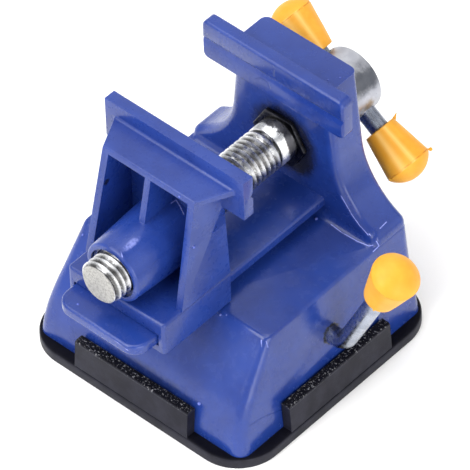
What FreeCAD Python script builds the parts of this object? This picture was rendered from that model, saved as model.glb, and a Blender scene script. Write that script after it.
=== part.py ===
import FreeCAD, Part
import math
import os
import re
import Sketcher

# Suction base bench vise, in millimetres.
# The rubber pad's underside is z = 0 and its centre is the origin. +Y runs from the moving
# jaw to the fixed jaw along the screw, +X is the side of the suction lever, and +Z is up.

DIMENSIONS = {
    # Rubber pad
    "pad_margin": 3.2,
    "pad_corner": 12.3,
    "pad_thickness": 3.0,
    "tab_half_length": 18.8,
    "tab_top": 11.3,
    "tab_foot_setback": 0.25,
    "tab_lean": 0.65,
    "tab_gap": 0.05,
    "tab_round": 0.8,
    "bead_height": 3.0,
    "bead_width": 2.2,
    "bead_gap": 0.6,
    "lip_recess": 0.8,
    "lip_recess_radius": 28.0,
    "lip_recess_slope": 2.0,
    # Membrane and pull plate in the middle of the pad
    "membrane_radius": 24.0,
    "membrane_thickness": 1.4,
    "membrane_rise": 1.2,
    "button_radius": 11.5,
    "plate_radius": 10.0,
    "plate_thickness": 1.6,
    # Cast body
    "body_half": 34.3,
    "body_corner": 3.4,
    "skirt_top": 11.75,
    "ledge_half": 30.85,
    "ledge_front": 19.7,
    "ledge_back": 32.3,
    "ledge_corner": 2.2,
    "ledge_top": 32.7,
    "wall": 2.6,
    "casting_round": 0.8,
    # Guide rail and its tongue
    "rail_half": 13.6,
    "rail_top": 39.0,
    "rail_thickness": 3.2,
    "stem_half": 9.8,
    "tongue_front": 48.0,
    "tongue_corner": 4.5,
    "gusset_half": 2.5,
    "gusset_reach": 16.0,
    "gusset_drop": 12.0,
    # Fixed jaw column
    "column_front": 20.7,
    "column_drop": 4.1,
    "column_waist": 17.3,
    "column_lean": 5.811,
    "column_foot_round": 2.0,
    "column_side_round": 2.4,
    "column_back_round": 2.0,
    "flare_height": 53.0,
    "flare_radius": 22.0,
    "flare_setback": 0.1,
    "flare_end_round": 2.8,
    "core_half": 11.0,
    "core_top": 42.0,
    # Jaw bars
    "bar_half": 22.5,
    "fixed_bar_half": 22.95,
    "bar_thickness": 3.6,
    "bar_height": 12.4,
    "bar_rise": 27.6,
    "bar_corner": 1.8,
    "groove_depth": 1.2,
    "groove_half": 1.3,
    "fixed_groove_depth": 0.6,
    "groove_drop": 6.3,
    "jaw_gap": 31.8,
    "fixed_face": 17.5,
    # Moving jaw
    "slide_clearance": 0.3,
    "skirt_thickness": 2.0,
    "base_front": 26.2,
    "base_thickness": 4.2,
    "lip_height": 2.5,
    "back_setback": 2.9,
    "back_draft": 0.8,
    "back_wall": 2.4,
    "tower_foot_front": 19.6,
    "tower_top_front": 12.7,
    "tower_top_half": 14.9,
    "tower_drop": 4.2,
    "leg_thickness": 2.0,
    "rib_half": 0.9,
    "roof_thickness": 1.6,
    "shoulder_half": 19.4,
    "boss_radius": 8.5,
    "boss_lead": 0.7,
    "boss_draft": 1.2,
    "boss_mouth": 7.0,
    "boss_mouth_depth": 1.2,
    # Lead screw
    "screw_height": 52.1,
    "screw_radius": 6.0,
    "screw_front": 46.1,
    "screw_tip": 0.9,
    "thread_end": 14.4,
    "relief_depth": 0.7,
    "relief_width": 0.8,
    "running_fit": 0.05,
    "tail_radius": 4.5,
    "tail_length": 7.3,
    # Retaining nut and thrust washer
    "nut_flats": 14.7,
    "nut_thickness": 1.2,
    "nut_gap": 0.2,
    "nut_turn": 60.0,
    "washer_radius": 8.2,
    "washer_thickness": 1.0,
    # Screw head and sliding bar
    "head_radius": 8.9,
    "head_gap": 0.1,
    "head_end": 48.4,
    "head_round": 1.0,
    "head_pin_radius": 1.25,
    "head_pin_setback": 3.8,
    "bar_rod_radius": 2.6,
    "bar_rod_y": 44.0,
    "bar_rod_tilt": 34.9,
    "bar_rod_clear_length": 24.1,
    "bar_rod_shift": 1.95,
    "bore_end_gap": 0.3,
    # Yellow caps
    "cap_small_radius": 4.4,
    "cap_big_radius": 6.3,
    "cap_length": 11.65,
    "cap_dome": 3.6,
    "cap_socket": 9.0,
    # Suction lever
    "lever_y": 1.5,
    "lever_height": 18.8,
    "rod_radius": 2.45,
    "rod_standoff": 2.6,
    "rod_bend": 5.0,
    "rod_tilt": 25.7,
    "arm_length": 27.1,
    "boss_wall": 2.6,
    "right_boss_end": 22.0,
    "left_boss_end": 16.0,
    "left_bore_end": 27.0,
    "clip_thickness": 0.9,
    "clip_gap": 0.1,
    "clip_radius": 4.6,
    "clip_seat_radius": 2.0,
    "clip_mouth_half": 1.5,
    "shaft_washer_radius": 4.8,
    "shaft_washer_thickness": 1.0,
    # Eccentric and pull stud
    "cam_radius": 5.8,
    "cam_half_width": 2.7,
    "cam_pin_radius": 1.0,
    "cam_pin_recess": 0.2,
    "cam_clearance": 0.3,
    "slot_shift": 0.7,
    "eye_wall": 2.2,
    "eye_half_width": 3.0,
    "stud_foot_radius": 5.5,
    "stud_foot_height": 1.8,
    "stud_neck_radius": 3.2,
    # Overrun of every cut beyond the face it leaves
    "overrun": 1.0,
}

# Places that follow from the sizes above.
DERIVED = {
    "pad_half": "(body_half + pad_margin)",
    "run": "(ledge_top - skirt_top)",
    "rise": "(skirt_top - pad_thickness)",
    "column_back": "(ledge_back - flare_setback)",
    "bar_top": "(screw_height + bar_rise)",
    "column_top": "(bar_top - column_drop)",
    "column_half": "(column_waist - (column_top - flare_height) * tan(column_lean))",
    "tower_top": "(bar_top - tower_drop)",
    "groove_height": "(bar_top - groove_drop)",
    "rod_corner": "(body_half + rod_standoff)",
    "side_slope": "((body_half - ledge_half) / (ledge_top - pad_thickness))",
    "back_slope": "((body_half - ledge_back) / (ledge_top - pad_thickness))",
}

doc = FreeCAD.newDocument("suction_vise")
dims = doc.addObject("Spreadsheet::Sheet", "dims")
for row, (word, size) in enumerate(DIMENSIONS.items(), start=1):
    dims.set(f"A{row}", word)
    dims.set(f"B{row}", str(size))
    dims.setAlias(f"B{row}", word)
doc.recompute()

NODES = []
BLEND_STEPS = (0, 0.25, 0.5, 0.75, 1)


def refer(word):
    """Write one name of a formula as a reference to the sheet, or as what it follows from."""
    if word in DERIVED:
        return link(DERIVED[word])
    return "dims." + word if word in DIMENSIONS else word


def link(formula):
    """Write the names of a formula as references to the sheet."""
    return re.sub(r"[a-z][a-z0-9_]*", lambda match: refer(match[0]), formula)


def value(formula):
    """Work out a formula's number from the sheet."""
    return float(str(dims.evalExpression(link(formula))).split()[0])


def bind(item, **formulas):
    """Bind an object's properties, with a double underscore for each dot, to formulas."""
    for name, formula in formulas.items():
        item.setExpression(name.replace("__", "."), link(formula))


def new_body(label, x="0", y="0", z="0", turn=None):
    """Start a sub-part, placed at a point and turned about the Y axis."""
    body = doc.addObject("PartDesign::Body", label)
    body.Label = label
    place(body, x, y, z, turn)
    NODES.append(body)
    return body


def place(item, x, y, z, turn=None):
    """Bind an object's placement, with an optional turn about the Y axis."""
    if turn is not None:
        rotation = FreeCAD.Rotation(FreeCAD.Vector(0, 1, 0), value(turn))
        item.Placement = FreeCAD.Placement(FreeCAD.Vector(), rotation)
        bind(item, Placement__Rotation__Angle=turn)
    bind(item, Placement__Base__x=x, Placement__Base__y=y, Placement__Base__z=z)


def new_sketch(body, name, plane, offset="0"):
    """Attach a sketch to one of a body's own planes, at a height along the world axis."""
    sketch = body.newObject("Sketcher::SketchObject", name)
    support = [item for item in body.Origin.OriginFeatures if item.Role == plane + "_Plane"][0]
    sketch.AttachmentSupport = [(support, "")]
    sketch.MapMode = "FlatFace"
    if plane == "XZ":
        bind(sketch, AttachmentOffset__Base__z=f"-({offset})")
    else:
        bind(sketch, AttachmentOffset__Base__z=offset)
    return sketch


def constrain(sketch, kind, geometry, formula):
    """Add a constraint whose size follows a formula."""
    size = value(formula)
    index = sketch.addConstraint(Sketcher.Constraint(kind, *geometry, size))
    if size != 0:
        sketch.setExpression(f"Constraints[{index}]", link(formula))


def arc_between(start, end, radius, turn):
    """Make the short arc from start to end, turning left for 1 and right for -1."""
    chord = end - start
    rise = math.sqrt(max(radius**2 - chord.Length**2 / 4, 0))
    across = FreeCAD.Vector(-chord.y, chord.x, 0).normalize()
    centre = (start + end) / 2 + across * rise * turn
    first, last = (start, end) if turn > 0 else (end, start)
    angles = [math.atan2(point.y - centre.y, point.x - centre.x) for point in (first, last)]
    if angles[1] < angles[0]:
        angles[1] += 2 * math.pi
    return Part.ArcOfCircle(Part.Circle(centre, FreeCAD.Vector(0, 0, 1), radius), angles[0], angles[1])


def outline(sketch, *corners):
    """Draw a closed outline of lines and arcs through named points.

    Each corner is (u, v) for a line to it, or (u, v, radius, turn) for an arc to it.
    """
    points = [FreeCAD.Vector(value(corner[0]), value(corner[1]), 0) for corner in corners]
    ends = []
    for index, corner in enumerate(corners):
        start = points[index - 1]
        end = points[index]
        if len(corner) == 2:
            geometry = sketch.addGeometry(Part.LineSegment(start, end), False)
            ends.append((geometry, 1, 2))
            continue
        radius, turn = corner[2:]
        geometry = sketch.addGeometry(arc_between(start, end, value(radius), turn), False)
        ends.append((geometry, 1, 2) if turn > 0 else (geometry, 2, 1))
    for index, corner in enumerate(corners):
        geometry, start_point, end_point = ends[index]
        follower, first_point, _ = ends[(index + 1) % len(corners)]
        sketch.addConstraint(Sketcher.Constraint("Coincident", geometry, end_point, follower, first_point))
        constrain(sketch, "DistanceX", (-1, 1, geometry, end_point), corner[0])
        constrain(sketch, "DistanceY", (-1, 1, geometry, end_point), corner[1])
        if len(corner) > 2:
            constrain(sketch, "Radius", (geometry,), corner[2])


def box(sketch, left, right, low, high):
    """Draw a plain rectangle."""
    outline(sketch, (left, low), (right, low), (right, high), (left, high))


def round_box(sketch, left, right, low, high, radius):
    """Draw a rectangle with four rounded corners."""
    outline(
        sketch,
        (f"{right} - ({radius})", low),
        (right, f"{low} + ({radius})", radius, 1),
        (right, f"{high} - ({radius})"),
        (f"{right} - ({radius})", high, radius, 1),
        (f"{left} + ({radius})", high),
        (left, f"{high} - ({radius})", radius, 1),
        (left, f"{low} + ({radius})"),
        (f"{left} + ({radius})", low, radius, 1),
    )


def circle(sketch, u, v, radius):
    """Draw a circle."""
    centre = FreeCAD.Vector(value(u), value(v), 0)
    geometry = sketch.addGeometry(Part.Circle(centre, FreeCAD.Vector(0, 0, 1), value(radius)), False)
    constrain(sketch, "DistanceX", (-1, 1, geometry, 3), u)
    constrain(sketch, "DistanceY", (-1, 1, geometry, 3), v)
    constrain(sketch, "Radius", (geometry,), radius)


def prism(body, name, plane, start, end, draw, cut=False):
    """Pad or pocket a drawn outline from one height to another along the plane's world axis."""
    sketch = new_sketch(body, name + "_sketch", plane, start)
    draw(sketch)
    feature = body.newObject("PartDesign::Pocket" if cut else "PartDesign::Pad", name)
    feature.Profile = sketch
    feature.Reversed = (plane == "XZ") != cut
    bind(feature, Length=f"({end}) - ({start})")
    return feature


def loft(body, name, sections, cut=False, ruled=True):
    """Loft between level outlines, each given as a height and the function that draws it."""
    sketches = []
    for index, (height, draw) in enumerate(sections):
        sketch = new_sketch(body, f"{name}_sketch_{index}", "XY", height)
        draw(sketch)
        sketches.append(sketch)
    feature = body.newObject("PartDesign::SubtractiveLoft" if cut else "PartDesign::AdditiveLoft", name)
    feature.Profile = sketches[0]
    feature.Sections = sketches[1:]
    feature.Ruled = ruled
    return feature


def spin(body, name, plane, axis, draw, cut=False, height="0"):
    """Revolve a drawn outline about an axis of its own sketch."""
    sketch = new_sketch(body, name + "_sketch", plane, height)
    draw(sketch)
    feature = body.newObject("PartDesign::Groove" if cut else "PartDesign::Revolution", name)
    feature.Profile = sketch
    feature.ReferenceAxis = (sketch, [axis])
    feature.Angle = 360.0
    return feature


def within(edge, low, high):
    """Tell whether an edge lies between two corners given as formulas, or None for no limit."""
    bounds = edge.BoundBox
    sides = ((bounds.XMin, bounds.XMax), (bounds.YMin, bounds.YMax), (bounds.ZMin, bounds.ZMax))
    slack = value("overrun") / 20
    for side, least, most in zip(sides, low, high):
        if least is not None and side[0] < value(least) - slack:
            return False
        if most is not None and side[1] > value(most) + slack:
            return False
    return True


def soften(body, name, radius, *regions, keep=None, chamfer=False):
    """Round or chamfer the edges of a body's tip that lie in any of the given regions."""
    doc.recompute()
    tip = body.Tip
    names = []
    for index, edge in enumerate(tip.Shape.Edges, start=1):
        if any(within(edge, low, high) for low, high in regions) and (keep is None or keep(edge)):
            names.append(f"Edge{index}")
    feature = body.newObject("PartDesign::Chamfer" if chamfer else "PartDesign::Fillet", name)
    feature.Base = (tip, names)
    bind(feature, **{"Size" if chamfer else "Radius": radius})
    return feature


def upright(edge):
    """Tell whether an edge is a straight line along Z."""
    line = isinstance(edge.Curve, Part.Line)
    return line and abs(edge.tangentAt(edge.FirstParameter).z) > 0.99


def rod(label, radius, length, x, y, z, turn=None):
    """Make a plain pin that is centred on a point and lies along Z before its turn."""
    pin = new_body(label, x, y, z, turn)
    prism(pin, "pin", "XY", f"-({length}) / 2", f"({length}) / 2", lambda s: circle(s, "0", "0", radius))
    return pin


def wall_box(height, share, radius, inset="0"):
    """Give a height, and the function that draws the walls' outline there.

    The front wall is at a share of its way from skirt to ledge, and the other walls lean evenly.
    """
    side = f"body_half - side_slope * ({height} - pad_thickness) - {inset}"
    back = f"body_half - back_slope * ({height} - pad_thickness) - {inset}"
    front = f"(body_half - ledge_front) * {share} - body_half + {inset}"
    return height, lambda s: round_box(s, f"-({side})", side, front, back, radius)


def bend_boxes(radius, inset="0"):
    """List the outlines where the front wall curves from upright into its slope."""
    return [wall_box(f"(pad_thickness + 2 * rise * {step})", f"(rise * {step}^2 / run)", radius, inset)
            for step in BLEND_STEPS]


def build_column(body):
    """Upright column, its sides flaring out along one arc each and rounding down to the ledge's edges."""
    spread = "(ledge_half - flare_setback)"
    across = f"(column_waist + flare_radius * cos(column_lean) - {spread} + flare_end_round)"
    rise = f"sqrt((flare_radius + flare_end_round)^2 - {across}^2)"
    share = "flare_end_round / (flare_radius + flare_end_round)"
    foot = f"flare_height + flare_radius * sin(column_lean) - {rise}"
    join = (f"{spread} - flare_end_round + {share} * {across}", f"{foot} + {share} * {rise}")
    prism(body, "column", "XZ", "column_front", "column_back", lambda s: outline(
        s,
        (f"-{spread}", "ledge_top - wall"),
        (spread, "ledge_top - wall"),
        (spread, foot),
        (join[0], join[1], "flare_end_round", 1),
        ("column_waist", "flare_height", "flare_radius", -1),
        ("column_half", "column_top"),
        ("-column_half", "column_top"),
        ("-column_waist", "flare_height"),
        (f"-({join[0]})", join[1], "flare_radius", -1),
        (f"-{spread}", foot, "flare_end_round", 1),
    ))
    prism(body, "ledge_bed", "XY", "ledge_top - wall", "ledge_top", lambda s: box(
        s, f"-{spread}", spread, "column_front - 3 * column_foot_round", "column_front + wall"))
    soften(body, "column_foot", "column_foot_round", (
        (None, "column_front", "ledge_top"), (None, "column_front", "ledge_top")))
    soften(body, "column_sides", "column_side_round", (
        (None, None, "ledge_top"), (None, "column_front", "column_top")),
        keep=lambda edge: edge.BoundBox.XLength < value("column_half"))
    soften(body, "column_backs", "column_back_round", (
        (None, "column_back", "ledge_top - wall"), (None, "column_back", "column_top")),
        keep=lambda edge: edge.BoundBox.XLength < value("column_half"))


def build_base_body():
    """Cast body: skirt, sloping walls, ledge, guide rail, fixed jaw and the lever bearings."""
    body = new_body("base_body")
    build_column(body)
    bend = bend_boxes("body_corner")
    loft(body, "bend", bend, ruled=False)
    loft(body, "slope", [
        bend[-1],
        wall_box("(ledge_top - casting_round)", "(1 - casting_round / run)", "ledge_corner"),
    ])
    loft(body, "ledge_edge", [
        wall_box(
            f"(ledge_top - casting_round * (1 - {step})^2)",
            f"(1 - casting_round * (1 - {step})^2 / run)",
            "ledge_corner", f"casting_round * {step}^2")
        for step in BLEND_STEPS], ruled=False)
    prism(body, "rail_stem", "YZ", "-stem_half", "stem_half", lambda s: box(
        s, "-ledge_front", "column_front", "ledge_top - wall", "rail_top"))
    prism(body, "rail_plate", "XY", "rail_top - rail_thickness", "rail_top", lambda s: outline(
        s,
        ("rail_half - tongue_corner", "-tongue_front"),
        ("rail_half", "tongue_corner - tongue_front", "tongue_corner", 1),
        ("rail_half", "column_front"),
        ("-rail_half", "column_front"),
        ("-rail_half", "tongue_corner - tongue_front"),
        ("tongue_corner - rail_half", "-tongue_front", "tongue_corner", 1),
    ))
    soften(body, "tongue_edges", "casting_round", (
        (None, "-tongue_front", "rail_top - rail_thickness"),
        (None, "tongue_corner - tongue_front", "rail_top")),
        keep=lambda edge: edge.BoundBox.ZLength < value("overrun") / 20)
    prism(body, "gusset", "YZ", "-gusset_half", "gusset_half", lambda s: outline(
        s,
        ("-ledge_front", "rail_top - rail_thickness"),
        ("-ledge_front - gusset_reach", "rail_top - rail_thickness"),
        ("-ledge_front - wall", "ledge_top - gusset_drop"),
        ("-ledge_front", "ledge_top - gusset_drop"),
    ))
    prism(body, "jaw_bar", "XZ", "fixed_face", "fixed_face + bar_thickness", lambda s: round_box(
        s, "-fixed_bar_half", "fixed_bar_half", "bar_top - bar_height", "bar_top", "bar_corner"))
    soften(body, "jaw_bar_edges", "casting_round", (
        (None, "fixed_face", None), (None, "fixed_face", None)))
    groove_end = "fixed_bar_half + overrun"
    prism(body, "jaw_groove", "YZ", f"-({groove_end})", groove_end, lambda s: outline(
        s,
        ("fixed_face - overrun", "groove_height - groove_half"),
        ("fixed_face", "groove_height - groove_half"),
        ("fixed_face + fixed_groove_depth", "groove_height"),
        ("fixed_face", "groove_height + groove_half"),
        ("fixed_face - overrun", "groove_height + groove_half"),
    ), cut=True)
    # Hollow underside, open to the pad.
    hollow = bend_boxes("(body_corner - wall)", "wall")
    loft(body, "hollow_bend", hollow, cut=True, ruled=False)
    loft(body, "hollow_slope", [
        hollow[-1],
        wall_box("(ledge_top - wall)", "(1 - wall / run)", "(body_corner - wall)", "wall"),
    ], cut=True)
    prism(body, "column_core", "XY", "ledge_top - wall - overrun", "core_top", lambda s: round_box(
        s, "-core_half", "core_half", "column_front + wall", "column_back - wall",
        "casting_round"), cut=True)
    # Bearings of the lever shaft, each hung from the ledge by a web.
    shaft = "rod_radius + running_fit"
    reach = "body_half - side_slope * (lever_height - pad_thickness) - wall / 2"
    for side, way, end in (("right", 1, "right_boss_end"), ("left", -1, "left_boss_end")):
        inner, outer = (end, reach) if way > 0 else (f"-({reach})", f"-{end}")
        prism(body, side + "_boss", "YZ", inner, outer, lambda s: circle(
            s, "lever_y", "lever_height", f"{shaft} + boss_wall"))
        prism(body, side + "_web", "XZ", "lever_y - wall / 2", "lever_y + wall / 2", lambda s: outline(
            s,
            (f"{way} * {end}", "lever_height"),
            (f"{way} * ({reach})", "lever_height"),
            (f"{way} * (ledge_half - wall / 2)", "ledge_top - wall / 2"),
            (f"{way} * {end}", "ledge_top - wall / 2"),
        ))
    prism(body, "right_bore", "YZ", "right_boss_end - overrun", "body_half + overrun", lambda s: circle(
        s, "lever_y", "lever_height", shaft), cut=True)
    prism(body, "left_bore", "YZ", "-left_bore_end", "overrun - left_boss_end", lambda s: circle(
        s, "lever_y", "lever_height", shaft), cut=True)
    prism(body, "screw_bore", "XZ", "column_front - overrun", "column_back + overrun", lambda s: circle(
        s, "0", "screw_height", "screw_radius + running_fit"), cut=True)
    return body


def draw_bar(sketch, face):
    """Draw the moving jaw bar's section, with a groove along its grip face."""
    back = f"{face} - bar_thickness"
    depth = f"{face} - groove_depth"
    outline(
        sketch,
        (face, "bar_top - bar_height"),
        (back, "bar_top - bar_height"),
        (back, "bar_top"),
        (face, "bar_top"),
        (face, "groove_height + groove_half"),
        (depth, "groove_height"),
        (face, "groove_height - groove_half"),
    )


def build_suction_pad():
    """Square rubber pad with a tab turned up against each wall of the body."""
    body = new_body("suction_pad")
    prism(body, "sole", "XY", "0", "pad_thickness", lambda s: round_box(
        s, "-pad_half", "pad_half", "-pad_half", "pad_half", "pad_corner"))
    soften(body, "rim", "tab_round", (
        (None, None, "pad_thickness"), (None, None, "pad_thickness")))
    foot = "pad_thickness - 2 * tab_round"
    inner = "back_slope * (tab_top - tab_round / 2 - pad_thickness) - body_half - tab_gap"
    tab = prism(body, "tab", "YZ", "-tab_half_length", "tab_half_length", lambda s: outline(
        s,
        ("tab_foot_setback - pad_half", foot),
        ("-body_half - tab_gap", foot),
        ("-body_half - tab_gap", "pad_thickness"),
        (inner, "tab_top - tab_round / 2"),
        (f"{inner} - tab_round / 2", "tab_top", "tab_round / 2", 1),
        ("tab_foot_setback + tab_lean + tab_round - pad_half", "tab_top"),
        ("tab_foot_setback + tab_lean - pad_half", "tab_top - tab_round", "tab_round", 1),
    ))
    tabs = body.newObject("PartDesign::PolarPattern", "tabs")
    tabs.Originals = [tab]
    tabs.Axis = ([item for item in body.Origin.OriginFeatures if item.Role == "Z_Axis"][0], [""])
    tabs.Angle = 360.0
    tabs.Occurrences = 4
    body.Tip = tabs
    inner = "body_half - wall - bead_gap"
    bead_top = "pad_thickness + bead_height"
    prism(body, "bead", "XY", "pad_thickness - tab_round", bead_top, lambda s: round_box(
        s, f"-({inner})", inner, f"-({inner})", inner, "body_corner - wall"))
    hollow = f"{inner} - bead_width"
    prism(body, "bead_hollow", "XY", "pad_thickness", f"{bead_top} + overrun", lambda s: round_box(
        s, f"-({hollow})", hollow, f"-({hollow})", hollow, "body_corner - wall"), cut=True)
    spin(body, "cup", "XZ", "V_Axis", lambda s: outline(
        s,
        ("0", "-overrun"),
        ("lip_recess_radius + lip_recess_slope * overrun", "-overrun"),
        ("lip_recess_radius - lip_recess_slope * lip_recess", "lip_recess"),
        ("membrane_radius", "lip_recess"),
        ("membrane_radius", "pad_thickness + overrun"),
        ("0", "pad_thickness + overrun"),
    ), cut=True)
    return body


def build_membrane():
    """Shallow rubber cone between the pad's rim and the pull button."""
    body = new_body("pad_membrane")
    spin(body, "cone", "XZ", "V_Axis", lambda s: outline(
        s,
        ("membrane_radius", "lip_recess"),
        ("membrane_radius", "lip_recess + membrane_thickness"),
        ("button_radius", "lip_recess + membrane_rise + membrane_thickness"),
        ("button_radius", "lip_recess + membrane_rise"),
    ))
    return body


BUTTON_TOP = "lip_recess + membrane_rise + membrane_thickness"
PLATE_TOP = f"{BUTTON_TOP} + plate_thickness"
CAM_HEIGHT = "lever_height - lever_y"


def build_button():
    """Rubber disc under the pull plate, level with the pad's rim while the base is released."""
    body = new_body("pad_button")
    prism(body, "disc", "XY", "0", BUTTON_TOP, lambda s: circle(
        s, "0", "0", "button_radius"))
    return body


def build_pull_plate():
    """Steel disc that spreads the stud's pull over the button."""
    body = new_body("pull_plate")
    prism(body, "disc", "XY", BUTTON_TOP, PLATE_TOP, lambda s: circle(s, "0", "0", "plate_radius"))
    soften(body, "rim", "casting_round / 2", (
        (None, None, PLATE_TOP), (None, None, PLATE_TOP)), chamfer=True)
    return body


def draw_slot(sketch, radius, shift):
    """Draw an upright-centred slot of quarter arcs that is longer along Y."""
    top = f"{CAM_HEIGHT} + {radius}"
    low = f"{CAM_HEIGHT} - ({radius})"
    outline(
        sketch,
        (shift, low),
        (f"{shift} + {radius}", CAM_HEIGHT, radius, 1),
        (shift, top, radius, 1),
        (f"-({shift})", top),
        (f"-({shift}) - ({radius})", CAM_HEIGHT, radius, 1),
        (f"-({shift})", low, radius, 1),
    )


def build_pull_stud():
    """Steel stud whose slotted eye rides on the eccentric."""
    body = new_body("pull_stud")
    slot = "cam_radius + cam_clearance"
    prism(body, "foot", "XY", PLATE_TOP, f"{PLATE_TOP} + stud_foot_height", lambda s: circle(
        s, "0", "0", "stud_foot_radius"))
    prism(body, "neck", "XY", PLATE_TOP, f"{CAM_HEIGHT} - ({slot}) - eye_wall / 2", lambda s: circle(
        s, "0", "0", "stud_neck_radius"))
    prism(body, "eye", "YZ", "-eye_half_width", "eye_half_width", lambda s: draw_slot(
        s, f"{slot} + eye_wall", "slot_shift"))
    prism(body, "slot", "YZ", "-eye_half_width - overrun", "eye_half_width + overrun", lambda s: draw_slot(
        s, slot, "slot_shift"), cut=True)
    return body


def build_eccentric():
    """Disc set off its shaft by the same distance back and down, so a quarter turn lifts the stud."""
    body = new_body("eccentric", y="lever_y", z="lever_height")
    prism(body, "disc", "YZ", "-cam_half_width", "cam_half_width", lambda s: circle(
        s, "-lever_y", "-lever_y", "cam_radius"))
    prism(body, "bore", "YZ", "-cam_half_width - overrun", "cam_half_width + overrun", lambda s: circle(
        s, "0", "0", "rod_radius"), cut=True)
    prism(body, "pin_bore", "XZ", "-lever_y - cam_radius", "cam_radius", lambda s: circle(
        s, "0", "0", "cam_pin_radius"), cut=True)
    return body


def build_cam_pin():
    """Pin through the eccentric and the shaft, along Y."""
    chord = "sqrt(cam_radius^2 - lever_y^2)"
    body = new_body("cam_pin", y="lever_y", z="lever_height")
    prism(body, "pin", "XZ", f"cam_pin_recess - lever_y - {chord}", f"{chord} - lever_y - cam_pin_recess",
          lambda s: circle(s, "0", "0", "cam_pin_radius"))
    return body


def build_lever_rod():
    """Lever rod, straight through its bearings and then bent up and outward."""
    body = new_body("lever_rod", y="lever_y", z="lever_height")
    start = "clip_gap * 3 - left_bore_end"
    tangent = "rod_bend * tan((90 - rod_tilt) / 2)"
    profile = new_sketch(body, "section", "YZ", start)
    circle(profile, "0", "0", "rod_radius")
    path = new_sketch(body, "path", "XZ")
    ends = [
        (start, "0"),
        (f"rod_corner - {tangent}", "0"),
        (f"rod_corner + {tangent} * sin(rod_tilt)", f"{tangent} * cos(rod_tilt)"),
        ("rod_corner + (arm_length + cap_socket) * sin(rod_tilt)",
         "(arm_length + cap_socket) * cos(rod_tilt)"),
    ]
    points = [FreeCAD.Vector(value(u), value(v), 0) for u, v in ends]
    path.addGeometry(Part.LineSegment(points[0], points[1]), False)
    path.addGeometry(arc_between(points[1], points[2], value("rod_bend"), 1), False)
    path.addGeometry(Part.LineSegment(points[2], points[3]), False)
    for geometry in (0, 1):
        path.addConstraint(Sketcher.Constraint("Coincident", geometry, 2, geometry + 1, 1))
    for geometry, point, (u, v) in ((0, 1, ends[0]), (0, 2, ends[1]), (1, 2, ends[2]), (2, 2, ends[3])):
        constrain(path, "DistanceX", (-1, 1, geometry, point), u)
        constrain(path, "DistanceY", (-1, 1, geometry, point), v)
    constrain(path, "Radius", (1,), "rod_bend")
    pipe = body.newObject("PartDesign::AdditivePipe", "bent_rod")
    pipe.Profile = profile
    pipe.Spine = (path, ["Edge1", "Edge2", "Edge3"])
    groove = "right_boss_end - shaft_washer_thickness - clip_gap"
    spin(body, "clip_groove", "XZ", "H_Axis", lambda s: box(
        s, f"{groove} - clip_thickness", groove, "clip_seat_radius", "rod_radius + overrun"), cut=True)
    prism(body, "pin_bore", "XZ", "-rod_radius - overrun", "rod_radius + overrun", lambda s: circle(
        s, "0", "0", "cam_pin_radius"), cut=True)
    return body


def build_shaft_washer():
    """Washer between the right bearing and the clip."""
    body = new_body("shaft_washer", y="lever_y", z="lever_height")
    inner = "right_boss_end - shaft_washer_thickness"
    prism(body, "ring", "YZ", inner, "right_boss_end", lambda s: circle(
        s, "0", "0", "shaft_washer_radius"))
    prism(body, "bore", "YZ", f"{inner} - overrun", "right_boss_end + overrun", lambda s: circle(
        s, "0", "0", "rod_radius + running_fit"), cut=True)
    return body


def build_shaft_clip():
    """Clip in the lever shaft's groove, open on its lower side."""
    outer = "right_boss_end - shaft_washer_thickness - clip_gap"
    body = new_body("shaft_clip", y="lever_y", z="lever_height")
    prism(body, "ring", "YZ", f"{outer} - clip_thickness", outer, lambda s: circle(
        s, "0", "0", "clip_radius"))
    prism(body, "bore", "YZ", f"{outer} - clip_thickness - overrun", f"{outer} + overrun", lambda s: circle(
        s, "0", "0", "clip_seat_radius"), cut=True)
    prism(body, "mouth", "YZ", f"{outer} - clip_thickness - overrun", f"{outer} + overrun", lambda s: box(
        s, "-clip_mouth_half", "clip_mouth_half", "-clip_radius - overrun", "0"), cut=True)
    return body


def build_cap(label, socket_radius, x, y, z, turn):
    """Tapered soft cap with a domed end, pushed over the end of a rod."""
    body = new_body(label, x, y, z, turn)
    spin(body, "cone", "XZ", "V_Axis", lambda s: outline(
        s,
        (socket_radius, "0"),
        ("cap_small_radius - casting_round / 2", "0"),
        ("cap_small_radius", "casting_round / 2", "casting_round / 2", 1),
        ("cap_big_radius", "cap_length"),
        ("0", "cap_length + cap_dome", "(cap_big_radius^2 + cap_dome^2) / (2 * cap_dome)", 1),
        ("0", "cap_socket"),
        (socket_radius, "cap_socket"),
    ))
    return body


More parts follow.
